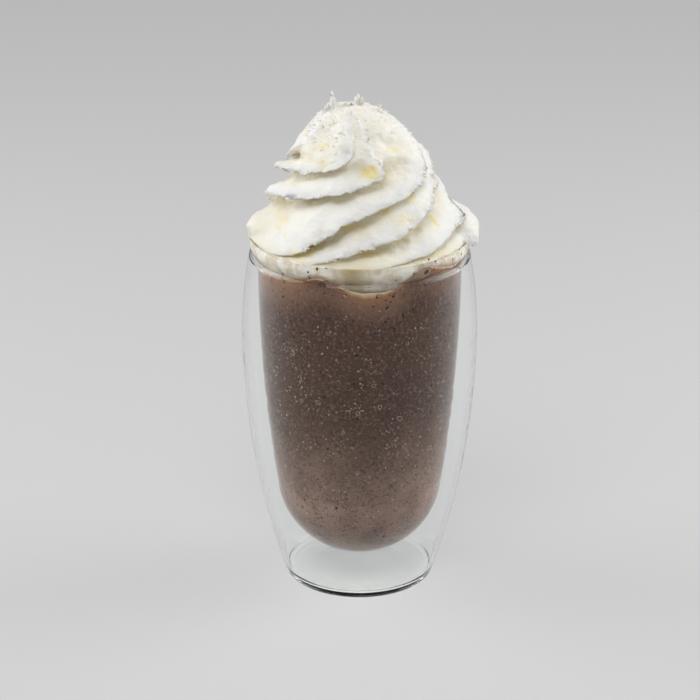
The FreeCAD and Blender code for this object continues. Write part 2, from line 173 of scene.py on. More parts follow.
def new_piece(name, mesh_maker, material, node):
    """An object of the drink made by mesh_maker, with its material, in place of a CAD node."""
    shape = bmesh.new()
    mesh_maker(shape)
    bmesh.ops.recalc_face_normals(shape, faces=shape.faces)
    mesh = bpy.data.meshes.new(name)
    shape.to_mesh(mesh)
    shape.free()
    piece = show(mesh, material)
    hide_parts(node)
    return piece


def show(mesh, material):
    """An object of the drink with this mesh, shaded smooth."""
    for face in mesh.polygons:
        face.use_smooth = True
    mesh.materials.append(material)
    piece = bpy.data.objects.new(mesh.name, mesh)
    bpy.context.scene.collection.objects.link(piece)
    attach(piece, "root")
    return piece


def spin_chain(shape, points, steps):
    """Turns a chain of (radius, height) points once round the axis."""
    spots = [shape.verts.new((radius, 0, height)) for radius, height in points]
    edges = [shape.edges.new(pair) for pair in zip(spots, spots[1:])]
    spin_round(shape, spots + edges, steps)
    bmesh.ops.remove_doubles(shape, verts=shape.verts, dist=SAME_SPOT)


def spin_round(shape, chain, steps):
    """Turns the spots and edges of a chain once round the axis."""
    bmesh.ops.spin(
        shape, geom=chain, cent=(0, 0, 0), axis=(0, 0, 1), angle=math.tau, steps=steps, use_merge=True,
    )


# ---------------------------------------------------------------- drink

DRINK_COLUMNS = 240
DRINK_ROWS = 150         # rows against the wall, from the well's floor to the bed
DRINK_TOP_ROWS = 12      # rows on the bed, from the wall to the axis
BOWL_ROWS = 0.3          # the share of the rows against the wall that lie in the bowl

# where beige foam takes the cream's place at the wall, as angle and half-width in degrees
FOAM_PLACES = ((266, 13), (120, 24), (40, 16))


def make_drink(shape):
    """The drink: the well's own shape, up to the wavy bed.

    Rows are spun at heights of 0 to 1 against the wall and 1 to 2 on the bed, and then laid in place.
    """
    chain = [(row / DRINK_ROWS, row / DRINK_ROWS) for row in range(DRINK_ROWS + 1)]
    chain += [(1 - row / DRINK_TOP_ROWS, 1 + row / DRINK_TOP_ROWS) for row in range(1, DRINK_TOP_ROWS + 1)]
    spin_chain(shape, chain, DRINK_COLUMNS)
    depth = shape.verts.layers.float.new("under_bed")
    reach = shape.verts.layers.float.new("foam_reach")
    for spot in shape.verts:
        angle = math.degrees(math.atan2(spot.co.y, spot.co.x))
        across = math.hypot(spot.co.x, spot.co.y)
        along = spot.co.z
        edge = bed_height(angle, 1.0)
        if along <= 1:
            height = drink_level(along, edge)
            radius = well_radius(height) + DRINK_REACH if along > 0 else 0.0
        else:
            height = bed_height(angle, across)
            radius = (well_radius(edge) + DRINK_REACH) * across
        spot[depth] = edge - height
        spot[reach] = foam_reach(angle)
        spot.co = on_circle(angle, radius, height) * MM


def foaminess(angle):
    """How far beige foam takes the cream's place at the wall, up to 1."""
    return max(bell(turn_from(angle, place), span) for place, span in FOAM_PLACES)


def foam_reach(angle):
    """How far the foam hangs below the cream: most at the front."""
    return 0.2 + 1.4 * bell(turn_from(angle, 276), 20)


def drink_level(along, edge):
    """The height of a row of the drink's skin: rows lie evenly along the bowl and evenly above it."""
    bowl = BOWL_RADIUS - WALL
    if along < BOWL_ROWS:
        return WELL_FLOOR + bowl * (1 - math.cos(along / BOWL_ROWS * math.pi / 2))
    return WELL_FLOOR + bowl + (edge - WELL_FLOOR - bowl) * (along - BOWL_ROWS) / (1 - BOWL_ROWS)


# ---------------------------------------------------------------- cream

CREAM_STEPS = 44         # columns of the cream's skin from one crest to the next
CREAM_ROWS = 280         # rows from the rim to the peak
PLUG_ROWS = 24           # rows against the wall, from the bed to the rim
FLOOR_ROWS = 8           # rows from the axis to the wall on the bed
OPEN_FROM = 14.0         # the cream's height above the bed from which its finish is that of the open air

# rises above the rim between which the ridges come out, calm down, and give way to the even peak
RIDGES_OUT = (-1.0, 5.0)
RIDGES_CALM = (29.5, 38.0)
PEAK_EVEN = (30.0, 38.0)

# lumps that the nozzle left, each as angle, rise, how far it stands out, half-width in degrees, half-height
LUMPS = (
    (184, 5.2, 3.9, 27, 9.6),
    (183, 29.0, 3.0, 8, 2.2),
    (181, 18.6, 1.8, 7, 2.4),
    (216, 20.5, 1.0, 10, 2.6),
    (252, 48.0, 1.8, 16, 8.0),
)
# hollows, likewise, with their depth
HOLLOWS = (
    (274, 31.4, 1.5, 13, 3.4),
    (282, 33.0, 0.7, 8, 2.6),
    (230, 43.5, 3.0, 30, 5.4),
    (283, 43.5, 2.6, 20, 6.2),
    (311, 39.5, 2.6, 22, 4.0),
    (261, 38.5, 1.8, 8, 3.2),
    (208, 11.0, 1.8, 13, 4.0),
    (190, 10.0, 2.6, 3.5, 1.4),
    (5, 15.0, 2.4, 42, 6.0),
    (0, 25.0, 1.8, 36, 5.5),
)
# where a yellow glow is painted on the cream, as painted light in its hollows, likewise, with how strongly
PAINTED_GLOWS = (
    (277, 32.0, 0.75, 11, 2.9),
    (282, 33.4, 0.95, 6, 2.0),
    (225, 39.6, 0.45, 12, 1.6),
    (237, 34.6, 0.5, 9, 2.0),
    (311, 38.0, 0.35, 14, 1.6),
    (309.5, 22.2, 1.0, 5, 2.4),
    (289, 18.4, 0.5, 7, 1.6),
    (262, 13.0, 0.35, 16, 2.0),
    (295, 9.8, 1.0, 5, 2.6),
    (278, 5.0, 0.5, 12, 2.0),
    (234, 3.4, 0.75, 9, 2.2),
    (327, 11.6, 0.9, 3, 2.0),
    (300, 16.0, 0.3, 12, 2.6),
    (186, 3.0, 0.35, 5, 2.4),
    (207, 8.0, 0.5, 2.5, 1.4),
    (218, 7.4, 0.5, 2.5, 1.2),
    (207, 10.0, 0.3, 8, 2.0),
    (120, 8.0, 0.5, 8, 2.6),
    (60, 20.0, 0.6, 7, 2.6),
    (95, 30.0, 0.4, 12, 2.6),
    (150, 21.0, 0.5, 7, 2.4),
)
# tufts that the cream drew up as the nozzle left: across, away, foot and height above the rim, half-widths
TUFTS = (
    (-10.6, -1.0, 46.6, 9.6, 3.2, 0.3),
    (-0.9, -1.0, 47.6, 7.2, 1.4, 1.7),
    (0.8, -1.6, 52.8, 1.6, 1.0, 0.3),
    (-8.0, -2.0, 48.4, 3.4, 1.7, 0.3),
    (-13.6, -2.0, 45.6, 5.4, 2.2, 0.3),
    (-12.2, -2.0, 49.4, 2.8, 1.4, 0.2),
    (7.6, -1.0, 47.4, 3.8, 1.7, 0.3),
    (-5.0, -2.0, 49.2, 3.2, 1.8, 0.3),
)

BEND_OFFSETS = (-2.0, -1.0, 0.0, 1.0, 2.0)    # rises over which a crest's bends are rounded

# where a ridge's face and its recess end, on the way from its crest, at 0, to the next one's, at 1
FACE_END = 0.11
RECESS_END = 0.27

# the dollop that hangs over the lip on the right: its path has rise, radius and level above the rim
DOLLOP_ANGLE = 3.0
DOLLOP_SPAN = 27.0
DOLLOP_PATH = (
    (-1.0, 40.9, -1.0),
    (0.0, 42.0, 0.5),
    (0.6, 43.3, 0.2),
    (1.2, 43.5, -2.0),
    (2.0, 43.6, -3.4),
    (2.8, 44.6, -3.7),
    (3.8, 45.8, -2.3),
    (5.0, 46.3, 0.2),
    (6.4, 45.9, 2.6),
    (8.0, 44.6, 5.2),
    (10.0, 42.2, 7.8),
    (12.5, 38.6, 9.6),
    (15.5, 35.2, 12.2),
    (18.5, 33.6, 16.4),
    (22.0, 32.4, 21.6),
)


def course_angle(course, rise):
    """The angle of a crest at a rise: straight between its stations, with each bend rounded."""
    return sum(straight_angle(course, rise + offset) for offset in BEND_OFFSETS) / len(BEND_OFFSETS)


def straight_angle(course, rise):
    """The angle on the straight runs between a course's stations."""
    first_angle, first_rise = course[0]
    if rise <= first_rise:
        return first_angle
    for (angle_a, rise_a), (angle_b, rise_b) in zip(course, course[1:]):
        if rise <= rise_b:
            return angle_a + (angle_b - angle_a) * (rise - rise_a) / (rise_b - rise_a)
    return course[-1][0]


def ridge_profile(place):
    """A ridge's height from its crest, at 0, down into the recess under it and up to the next, at 1."""
    if place < FACE_END:
        return (1 - place / FACE_END) ** 1.6
    if place < RECESS_END:
        return 0.0
    share = (place - RECESS_END) / (1 - RECESS_END)
    return 0.75 * share * share * (3 - 2 * share) + 0.25 * share ** 3


def heap_radius(rise):
    """The radius of the heap's crests above the rim."""
    share = min(1.0, rise / SWIRL_RISE)
    return SWIRL_RADIUS * math.sqrt(1 - share ** SWIRL_FULLNESS)


def even_rises(count):
    """Rises from the rim to the peak that lie evenly along the heap's slope."""
    fine = 2000
    rises = [SWIRL_RISE * step / fine for step in range(fine + 1)]
    lengths = [0.0]
    for low, high in zip(rises, rises[1:]):
        lengths.append(lengths[-1] + math.hypot(high - low, heap_radius(high) - heap_radius(low)))
    even = []
    place = 0
    for step in range(count + 1):
        wanted = lengths[-1] * step / count
        while place < fine and lengths[place] < wanted:
            place += 1
        even.append(rises[place])
    return even


def on_path(path, along):
    """The second and third value of a path at a value of its first."""
    if along <= path[0][0]:
        return path[0][1], path[0][2]
    for (a, across_a, up_a), (b, across_b, up_b) in zip(path, path[1:]):
        if along <= b:
            share = (along - a) / (b - a)
            return across_a + (across_b - across_a) * share, up_a + (up_b - up_a) * share
    return path[-1][1], path[-1][2]


def next_ridge(ridge):
    """The number of the ridge after this one, round the swirl."""
    return (ridge + 1) % len(COURSES)


def between_crests(crests, ridge, place):
    """The angle at a place from one ridge's crest, at 0, to the next one's, at 1."""
    after = next_ridge(ridge)
    here = crests[ridge]
    there = crests[after] + (360 if after == 0 else 0)
    return here + (there - here) * place


def swirl_point(ridge, place, rise, crests):
    """Where the swirl's skin lies, in millimetres, and how near its ridge's crest it is."""
    height = ridge_profile(place)
    relief = RIDGE_SHARE[ridge] * (1 - place) + RIDGE_SHARE[next_ridge(ridge)] * place
    bare = smooth_step(*RIDGES_OUT, rise)
    spent = max(0.0, rise / SWIRL_RISE)
    calm = 1 - 0.8 * smooth_step(*RIDGES_CALM, rise)
    depth = RIDGE_DEPTH * relief * bare * calm * (1 - 0.35 * spent ** 2)
    crest_radius = heap_radius(rise)
    share = crest_radius / SWIRL_RADIUS
    lean = math.degrees(RIDGE_EAVE / max(crest_radius, 6.0)) * height ** 3 * bare * share * calm
    angle = between_crests(crests, ridge, place) + lean
    sunk = depth * (1 - height) * min(1.0, share * 1.6)
    radius = crest_radius
    level = rise - EAVE_DROOP * height ** 3 * bare * calm
    fade = 0.0
    lumpy = 0.0
    for lump_angle, lump_rise, reach, span, drop in LUMPS:
        cover = bell(turn_from(angle, lump_angle), span) * bell(rise - lump_rise, drop)
        radius += reach * cover * min(1.0, 3 * share)
        sunk *= 1 - cover
        lumpy = max(lumpy, cover)
    for hollow_angle, hollow_rise, dent, span, drop in HOLLOWS:
        radius -= dent * bell(turn_from(angle, hollow_angle), span) * bell(rise - hollow_rise, drop)
    radius -= sunk
    dollop = smooth_step(0.0, 1.0, 1.25 * bell(turn_from(angle, DOLLOP_ANGLE), DOLLOP_SPAN))
    if rise < DOLLOP_PATH[-1][0] and dollop > 0.001:
        hung_radius, hung_level = on_path(DOLLOP_PATH, rise)
        fade = dollop * (1 - smooth_step(DOLLOP_PATH[-4][0], DOLLOP_PATH[-1][0], rise))
        radius += (hung_radius - radius) * fade
        level += (hung_level - level) * fade
    radius = max(0.0, radius)
    lean_back = PEAK_LEAN * spent ** 3
    direction = math.radians(angle)
    spot = Vector((radius * math.cos(direction) - lean_back, radius * math.sin(direction), RIM + level))
    # near also sets where the finish paints shade: the even peak, the lumps and the dollop count as partly
    # crest, so that less painted shade falls on them
    near = max(height * bare, 0.45 * smooth_step(*PEAK_EVEN, rise), 0.5 * lumpy)
    return spot, near * (1 - fade) + 0.7 * fade


def painted_yellow_glow(angle, rise):
    """How strongly a yellow glow is painted on the cream here: painted light in its hollows."""
    return max(
        strength * bell(turn_from(angle, glow_angle), span) * bell(rise - glow_rise, drop)
        for glow_angle, glow_rise, strength, span, drop in PAINTED_GLOWS
    )


def make_cream(shape):
    """The whole cream: a disc on the bed, a plug against the wall and the swirl above, as one skin.

    Rows are spun at a height of 0 on the bed, 0 to 1 against the wall and 2, 3 and so on above the rim.
    """
    count = len(COURSES)
    rises = even_rises(CREAM_ROWS)
    rim_crests = [course_angle(course, 0.0) for course in COURSES]
    chain = [(row / FLOOR_ROWS, 0.0) for row in range(FLOOR_ROWS + 1)]
    chain += [(1.0, row / PLUG_ROWS) for row in range(1, PLUG_ROWS + 1)]
    chain += [(1 - 0.999 * row / CREAM_ROWS, 1.0 + row) for row in range(1, CREAM_ROWS + 1)]
    chain[-1] = (0.0, 1.0 + CREAM_ROWS)
    spin_chain(shape, chain, count * CREAM_STEPS)
    # crest: how near a ridge's crest the skin is; it tears the crests and sets where the finish paints
    # shade
    crest = shape.verts.layers.float.new("crest")
    above_bed = shape.verts.layers.float.new("above_bed")
    # yellow: above the rim, how much painted yellow glow; against the wall, how much beige foam
    yellow = shape.verts.layers.float.new("yellow")
    courses = {}
    for spot in shape.verts:
        turn = (math.degrees(math.atan2(spot.co.y, spot.co.x)) % 360) / 360 * count
        turn = round(turn * CREAM_STEPS) / CREAM_STEPS % count
        across = math.hypot(spot.co.x, spot.co.y)
        row = spot.co.z
        ridge = int(turn)
        place = turn - ridge
        if row > 1.5:
            index = round(row - 1)
            rise = rises[index]
            if index not in courses:
                courses[index] = [course_angle(course, rise) for course in COURSES]
            where, near = swirl_point(ridge, place, rise, courses[index])
            spot[crest] = near
            spot[above_bed] = rise + OPEN_FROM
            spot[yellow] = painted_yellow_glow(math.degrees(math.atan2(where.y, where.x)), rise)
        else:
            angle = between_crests(rim_crests, ridge, place)
            bed = bed_height(angle, 1.0)
            height = bed + (RIM - bed) * row if row > 0 else bed_height(angle, across)
            wall = well_radius(min(height, RIM - RIM_ROUND)) + CREAM_REACH
            radius = wall * (across if row == 0 else 1.0)
            where = on_circle(angle, radius, height)
            spot[crest] = 0.0
            spot[above_bed] = height - bed
            spot[yellow] = foaminess(angle)
        spot.co = where
    roughen(shape, crest)
    for spot in shape.verts:
        spot.co *= MM


# the skin's unevenness, coarse to fine, as width and strength, and a shift that keeps one off another
FLUFF = ((6.5, 0.9, (0, 0, 0)), (2.6, 0.38, (0, 0, 0)))
FINE_FLUFF = (1.2, 0.12)
TEARS = ((3.4, 1.3, (7, 3, 1)), (1.5, 0.5, (1, 9, 4)))


def uneven(where, waves):
    """How far several waves of noise push a spot."""
    push = Vector()
    for width, strength, shift in waves:
        push += noise.noise_vector(where / width + Vector(shift)) * strength
    return push


def wildness(where):
    """How torn the cream is here, from 0 to 1, in patches."""
    return smooth_step(-0.35, 0.35, noise.noise(where / 9.0 + Vector((5, 2, 8))))


def roughen(shape, crest):
    """Fluffs the skin that stands in the open and tears its crests; spots are still in millimetres."""
    fine_width, fine_strength = FINE_FLUFF
    for spot in shape.verts:
        open_air = smooth_step(RIM - 0.5, RIM + 2.0, spot.co.z)
        if math.hypot(spot.co.x, spot.co.y) > LIP_RADIUS:
            open_air = 1.0
        if open_air <= 0:
            continue
        where = spot.co.copy()
        top = smooth_step(RIM + 36, RIM + 48, where.z)
        wild = wildness(where)
        edge = max(smooth_step(0.72, 1.0, spot[crest]), 0.35 * top) * (0.3 + 0.8 * wild)
        push = uneven(where, FLUFF)
        push += noise.noise_vector(where / fine_width) * (fine_strength + fine_strength * wild)
        spot.co = where + (push + uneven(where, TEARS) * edge) * open_air


# ---------------------------------------------------------------- small things, many to a piece

def axes_at(spot, out, round_way, turn=0.0):
    """A frame at a spot: its Z points out of the skin, its X round the glass, turned by an angle."""
    up = out.cross(round_way)
    frame_axes = Matrix((round_way, up, out)).transposed().to_4x4()
    return Matrix.Translation(spot) @ frame_axes @ Matrix.Rotation(math.radians(turn), 4, "Z")


def on_skin(angle, height):
    """A spot on the drink's skin, with the directions out of it and round it."""
    step = 0.1
    radius = well_radius(height) + DRINK_REACH
    slope = (well_radius(height + step) - well_radius(height - step)) / (2 * step)
    across = on_circle(angle, 1.0, 0.0)
    round_way = Vector((-across.y, across.x, 0))
    out = (across - Vector((0, 0, slope))).normalized()
    return across * radius + Vector((0, 0, height)), out, round_way


def stamp(maker):
    """A small shape made once, to be repeated: its spots, and each face as the numbers of its spots."""
    shape = bmesh.new()
    maker(shape)
    bmesh.ops.recalc_face_normals(shape, faces=shape.faces)
    shape.verts.index_update()
    spots = np.array([tuple(spot.co) for spot in shape.verts])
    faces = [[spot.index for spot in face.verts] for face in shape.faces]
    shape.free()
    return spots, faces


def pebble(fineness):
    """A small ball."""
    return stamp(lambda shape: bmesh.ops.create_icosphere(shape, subdivisions=fineness, radius=1.0))


def torn_pebble(seed, tip, fineness=1):
    """A small ball pulled out of shape and drawn in towards its top, to the share that tip gives."""
    def maker(shape):
        bmesh.ops.create_icosphere(shape, subdivisions=fineness, radius=1.0)
        for spot in shape.verts:
            drawn = 1 + (tip - 1) * (spot.co.z + 1) / 2
            spot.co.x *= drawn
            spot.co.y *= drawn
            spot.co += noise.noise_vector(spot.co * 1.1 + Vector((seed, 0, 0))) * 0.45
            if fineness > 1:
                spot.co += noise.noise_vector(spot.co * 2.6 + Vector((0, seed, 0))) * 0.45
    return stamp(maker)


def ring(thickness, steps):
    """A ring whose middle line has a radius of 1, as thick as given."""
    def maker(shape):
        upright = Matrix.Translation((1, 0, 0)) @ Matrix.Rotation(math.pi / 2, 4, "X")
        tube = bmesh.ops.create_circle(shape, segments=5, radius=thickness, matrix=upright)["verts"]
        edges = list({edge for spot in tube for edge in spot.link_edges})
        spin_round(shape, tube + edges, steps)
    return stamp(maker)


class Crowd:
    """Many small shapes joined into one mesh; each has its place, its half-sizes and a tone of its own."""

    def __init__(self):
        self.spots = []
        self.faces = []
        self.tones = []

    def put(self, stamped, axes, sizes, tone):
        spots, faces = stamped
        matrix = np.array(axes @ Matrix.Diagonal((*sizes, 1.0)))
        first = len(self.tones)
        self.spots += (spots @ matrix[:3, :3].T + matrix[:3, 3]).tolist()
        self.faces += [[first + corner for corner in face] for face in faces]
        self.tones += [tone] * len(spots)

    def piece(self, name, material, tones=("tone",)):
        mesh = bpy.data.meshes.new(name)
        mesh.from_pydata([[part * MM for part in spot] for spot in self.spots], [], self.faces)
        for tone in tones:
            mesh.attributes.new(tone, "FLOAT", "POINT").data.foreach_set("value", self.tones)
        return show(mesh, material)


def scattered(source, count, density, above=0.0):
    """Spots on the drink's skin as angles and heights, thicker where density is nearer 1."""
    found = []
    while len(found) < count:
        angle = source.uniform(0, 360)
        height = source.uniform(WELL_FLOOR + 0.3, bed_height(angle, 1.0) + above)
        if source.random() < density(angle, height):
            found.append((angle, height))
    return found


SPECKS = 1800
CRYSTALS = 3600
BUBBLES = 150


def specks():
    """Specks of ground coffee and cocoa against the wall, thickest under the cream."""
    source = random.Random(11)
    crowd = Crowd()
    grain = pebble(1)

    def density(angle, height):
        depth = bed_height(angle, 1.0) - height
        if depth < 0:
            return 0.5
        return 0.12 + 0.88 * (1 - smooth_step(15.0, 65.0, depth))

    for angle, height in scattered(source, SPECKS, density, above=5.0):
        spot, out, round_way = on_skin(angle, height)
        long = 0.24 + 0.5 * source.random() ** 2.2
        wide = long * source.uniform(0.45, 1.0)
        axes = axes_at(spot, out, round_way, source.uniform(0, 180))
        near_foam = bed_height(angle, 1.0) - height < 3.0
        rust = source.random() < (0.6 if near_foam else 0.2)
        crowd.put(grain, axes, (long, wide, 0.2), source.uniform(0.5, 1.0) if rust else 0.0)
    return crowd


def crystals():
    """Fine ice crystals and bubbles against the wall, paler than the drink, in drifts."""
    source = random.Random(23)
    crowd = Crowd()
    grain = pebble(1)
    small_ring = ring(0.14, 14)

    def density(angle, height):
        spot, _, _ = on_skin(angle, height)
        drift = smooth_step(-0.1, 0.5, noise.noise(spot / 9.0))
        depth = bed_height(angle, 1.0) - height
        return (0.15 + 0.85 * smooth_step(8.0, 45.0, depth)) * (0.2 + 0.8 * drift)

    for angle, height in scattered(source, CRYSTALS, density):
        spot, out, round_way = on_skin(angle, height)
        long = 0.15 + 0.22 * source.random() ** 2.5
        axes = axes_at(spot, out, round_way, source.uniform(0, 180))
        sizes = (long * source.uniform(1.0, 1.6), long, 0.12)
        crowd.put(grain, axes, sizes, source.random() ** 1.6)
    for angle, height in scattered(source, BUBBLES, density):
        spot, out, round_way = on_skin(angle, height)
        size = source.uniform(0.35, 1.1)
        axes = axes_at(spot, out, round_way, source.uniform(0, 180))
        crowd.put(small_ring, axes, (size, size * source.uniform(0.7, 1.0), 0.5), source.uniform(0.1, 0.6))
    return crowd


# bubbles in the foam where it meets the wall: angle, depth under the bed, half-width, half-height, turn
FOAM_BUBBLES = (
    (304.0, 2.4, 4.6, 2.5, 24.0),
    (252.0, 1.0, 1.3, 1.0, 0.0),
    (262.0, 3.0, 0.9, 0.8, 10.0),
    (281.0, 1.4, 1.1, 0.8, -15.0),
    (294.0, 2.2, 0.8, 0.7, 20.0),
    (200.0, 1.2, 1.4, 1.0, 10.0),
    (30.0, 1.0, 2.6, 1.6, 12.0),
    (95.0, 1.4, 1.6, 1.2, 0.0),
    (150.0, 0.8, 3.4, 2.0, -18.0),
)
BUBBLE_BULGE = 0.13      # half the thickness of a bubble's lens
BUBBLE_EDGE = 0.2        # half the thickness of the ring round it
LENS_BAND = (-0.02, 0.12)    # how far under and over the drink's skin a lens may lie


def foam_bubbles():
    """Flattened bubbles along the edge of the foam, each a pale lens in a thin brown ring."""
    crowd = Crowd()
    lens = pebble(3)
    for angle, depth, half_width, half_height, turn in FOAM_BUBBLES:
        spot, out, round_way = on_skin(angle, bed_height(angle, 1.0) - depth)
        axes = axes_at(spot, out, round_way, turn)
        edge = ring(BUBBLE_EDGE / half_width, 28)
        crowd.put(lens, axes, (half_width, half_height, BUBBLE_BULGE), 0.0)
        crowd.put(edge, axes, (half_width, half_height, half_width), 0.75)
        if half_width > 2:
            inner = axes @ Matrix.Translation((half_width * 0.52, half_height * 0.05, 0.05))
            crowd.put(lens, inner, (half_width * 0.24, half_height * 0.42, BUBBLE_BULGE), 1.0)
    crowd.spots = [on_wall(Vector(spot)) for spot in crowd.spots]
    return crowd


def on_wall(spot):
    """Lays a spot of a wide flat piece back against the wall, which curves away from it."""
    wall = well_radius(spot.z) + DRINK_REACH
    lowest, highest = LENS_BAND
    raised = max(lowest, min(highest, math.hypot(spot.x, spot.y) - wall))
    flat = Vector((spot.x, spot.y, 0)).normalized()
    return flat * (wall + raised) + Vector((0, 0, spot.z))


CRUMBS = 1300            # along the crests
DOME_CRUMBS = 700        # over the peak
DOME_FROM = 38.0         # the rise above the rim at which the peak begins
# with this tone the crumbs take the crest's white, with no painted shade
CRUMB_TONE = 20.0        # as crest and as height above the bed: both past all that the finish tells apart


def crumbs():
    """Torn crumbs of cream along the crests and over the peak."""
    source = random.Random(5)
    crowd = Crowd()
    lumps = [torn_pebble(seed, 0.4) for seed in range(8)]
    places = [(source.randrange(len(COURSES)), source.uniform(-0.04, 0.008), source.uniform(1.0, 37.0))
              for _ in range(CRUMBS)]
    places += [(source.randrange(len(COURSES)), source.random(), source.uniform(DOME_FROM, 52.6))
               for _ in range(DOME_CRUMBS)]
    for ridge, place, rise in places:
        crests = [course_angle(course, rise) for course in COURSES]
        if place < 0:
            ridge, place = (ridge - 1) % len(COURSES), 1 + place
        spot, height = swirl_point(ridge, place, rise, crests)
        if source.random() > 0.25 + 0.75 * wildness(spot) or height < 0.3 and rise < DOME_FROM:
            continue
        out = Vector((spot.x, spot.y, 12.0 * smooth_step(30, 50, rise) - 3.0)).normalized()
        out = (out + noise.noise_vector(spot * 3.1) * 0.9).normalized()
        round_way = out.cross(Vector((0.1, 0.2, 1))).normalized()
        size = 0.22 + 0.34 * source.random() ** 2
        axes = axes_at(spot + out * 0.1, out, round_way, source.uniform(0, 180))
        lump = source.choice(lumps)
        sizes = (size, size * 0.8, size * source.uniform(0.9, 2.2))
        crowd.put(lump, axes, sizes, CRUMB_TONE)
    pile_tufts(crowd)
    return crowd


def pile_tufts(crowd):
    """The tufts on the peak, each a torn spike that starts inside the cream."""
    for number, (across, away, foot, height, wide, tip) in enumerate(TUFTS):
        spike = torn_pebble(number + 20, tip / wide, 4)
        axes = Matrix.Translation((across, away, RIM + foot + height / 2))
        crowd.put(spike, axes, (wide, wide * 0.8, height / 2 + 0.6), CRUMB_TONE)


# ---------------------------------------------------------------- materials

COLOUR_A, COLOUR_B, COLOUR_OUT = 6, 7, 2     # sockets of a Mix node set to colours


def shade(red, green, blue):
    """A screen colour, 0 to 255, as the linear colour that a socket takes."""
    linear = []
    for part in (red, green, blue):
        part /= 255
        linear.append(part / 12.92 if part <= 0.04045 else ((part + 0.055) / 1.055) ** 2.4)
    return (*linear, 1.0)


def fill_ramp(ramp, stops):
    """Gives a colour ramp its stops, each a place from 0 to 1 and a colour."""
    while len(ramp.elements) < len(stops):
        ramp.elements.new(1.0)
    for element, (place, colour) in zip(ramp.elements, stops):
        element.position = place
        element.color = colour


class Wire:
    """A value in a material's nodes; arithmetic on wires adds Math nodes."""

    def __init__(self, finish, socket):
        self.finish = finish
        self.socket = socket

    def maths(self, operation, other):
        return self.finish.add("ShaderNodeMath", {"operation": operation}, {0: self, 1: other})

    def __add__(self, other):
        return self.maths("ADD", other)

    def __sub__(self, other):
        return self.maths("SUBTRACT", other)

    def __mul__(self, other):
        return self.maths("MULTIPLY", other)

    __rmul__ = __mul__


class Finish:
    """A material whose nodes are added one by one."""

    def __init__(self, name):
        self.material = bpy.data.materials.new(name)
        self.material.use_nodes = True
        self.tree = self.material.node_tree
        self.tree.nodes.clear()
        self.output = self.tree.nodes.new("ShaderNodeOutputMaterial")

    def add(self, kind, settings=None, inputs=None, out=0):
        """A node of this kind, with its settings made first and then its sockets set or linked."""
        node = self.tree.nodes.new(kind)
        for name, value in (settings or {}).items():
            if name == "stops":
                fill_ramp(node.color_ramp, value)
            else:
                setattr(node, name, value)
        for key, value in (inputs or {}).items():
            if isinstance(value, Wire):
                self.tree.links.new(value.socket, node.inputs[key])
            else:
                node.inputs[key].default_value = value
        return Wire(self, node.outputs[out])

    def mix(self, factor, first, second):
        """A mix of two colours."""
        inputs = {0: factor, COLOUR_A: first, COLOUR_B: second}
        return self.add("ShaderNodeMix", {"data_type": "RGBA"}, inputs, COLOUR_OUT)

    def between(self, value, low, high, first=0.0, second=1.0):
        """value carried from low..high to first..second, smoothly and held at the ends."""
        inputs = dict(enumerate((value, low, high, first, second)))
        return self.add("ShaderNodeMapRange", {"interpolation_type": "SMOOTHSTEP"}, inputs)

    def clouds(self, size, detail):
        """Noise whose lumps are about this many millimetres wide."""
        place = self.add("ShaderNodeTexCoord", out="Object")
        inputs = {"Vector": place, "Scale": 1 / (size * MM), "Detail": detail}
        return self.add("ShaderNodeTexNoise", {}, inputs)

    def attribute(self, name):
        """A value that each spot of the mesh carries."""
        return self.add("ShaderNodeAttribute", {"attribute_name": name}, out="Fac")

    def bump(self, height, distance, strength):
        """Relief that a height pattern gives the surface, this many millimetres deep."""
        inputs = {"Height": height, "Distance": distance * MM, "Strength": strength}
        return self.add("ShaderNodeBump", {}, inputs)

    def surface(self, **inputs):
        """The Principled shader; a name's underscores stand for spaces."""
        spaced = {name.replace("_", " "): value for name, value in inputs.items()}
        return self.add("ShaderNodeBsdfPrincipled", {}, spaced)

    def finish(self, shader):
        """Gives the material this shader as its surface."""
        self.tree.links.new(shader.socket, self.output.inputs["Surface"])
        return self.material


def clear_glass():
    """Blown borosilicate: clear and smooth, with a blown wall's faint waves. Lamps shine through it."""
    glass = Finish("clear_blown_glass")
    smear = glass.clouds(14.0, 4.0)
    wave = glass.bump(glass.clouds(18.0, 1.0), 0.05, 0.25)
    body = glass.surface(
        Base_Color=(0.985, 0.992, 0.990, 1.0), Roughness=glass.between(smear, 0.45, 0.8, 0.0, 0.02),
        IOR=1.47, Specular_Tint=(0.32, 0.32, 0.32, 1.0), Transmission_Weight=1.0, Normal=wave,
    )
    open_way = glass.add("ShaderNodeBsdfTransparent", {}, {"Color": (0.97, 0.98, 0.975, 1.0)})
    lamp_ray = glass.add("ShaderNodeLightPath", out="Is Shadow Ray")
    return glass.finish(glass.add("ShaderNodeMixShader", {}, {0: lamp_ray, 1: body, 2: open_way}))


